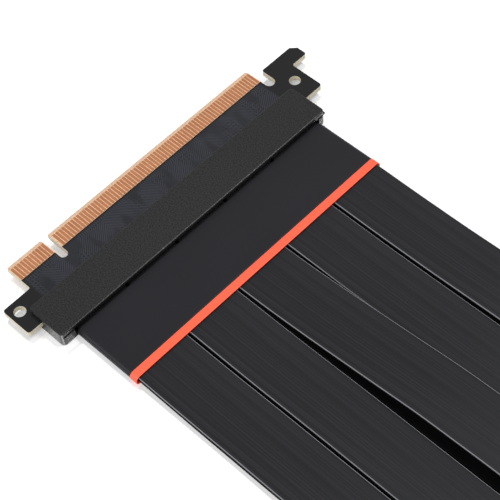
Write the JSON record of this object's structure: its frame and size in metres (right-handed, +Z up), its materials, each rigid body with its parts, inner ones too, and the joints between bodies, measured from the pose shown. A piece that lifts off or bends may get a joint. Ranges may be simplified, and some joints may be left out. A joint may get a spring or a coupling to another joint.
{
  "type": "gpu riser cable",
  "caption": "Flat riser cable: a card-edge plug board joined by shielded flexible bands to a latched card socket on a low tray.",
  "frame": {"origin": "bottom centre of the whole part, on the surface that it lies on", "axes": "+X along the cable from the plug to the socket, +Y along the card edge towards the retention hook, +Z up"},
  "size_m": [0.256, 0.12, 0.0209],
  "materials": {
    "board": "black solder mask over glass laminate, gold contacts",
    "shell": "finely textured black moulding",
    "wrap": "smooth satin black sleeve",
    "band": "satin black jacket over flat conductors",
    "stripe": "satin orange-red",
    "metal": "tinned or plated",
    "moulding": "moulded black nylon"
  },
  "bodies": {
    "cable": {"band_lower_1": "band", "band_lower_2": "band", "band_lower_3": "band", "band_lower_4": "band", "band_lower_5": "band", "band_upper_1": "band", "band_upper_2": "band", "band_upper_3": "band", "band_upper_4": "band", "band_upper_5": "band", "plug_board": "board", "plug_cover_base": "shell", "plug_cover_top": "shell", "plug_ground_bar_lower": "metal", "plug_ground_bar_upper": "metal", "plug_sheath": "wrap", "plug_stripe": "stripe", "socket_base_tray": "shell", "socket_board": "board", "socket_cover_top": "shell", "socket_ground_bar_lower": "metal", "socket_ground_bar_upper": "metal", "socket_housing": "moulding", "socket_screw_left": "metal", "socket_screw_right": "metal", "socket_sheath": "wrap", "socket_stripe": "stripe"},
    "latch": {"socket_latch": "moulding"}
  },
  "joints": [
    {"name": "latch_hinge", "type": "hinge", "parent": "cable", "child": "latch", "pos_m": [0.11725, 0.0487, 0.00887], "axis": [-1, 0, 0], "range_deg": [0, 30]}
  ]
}
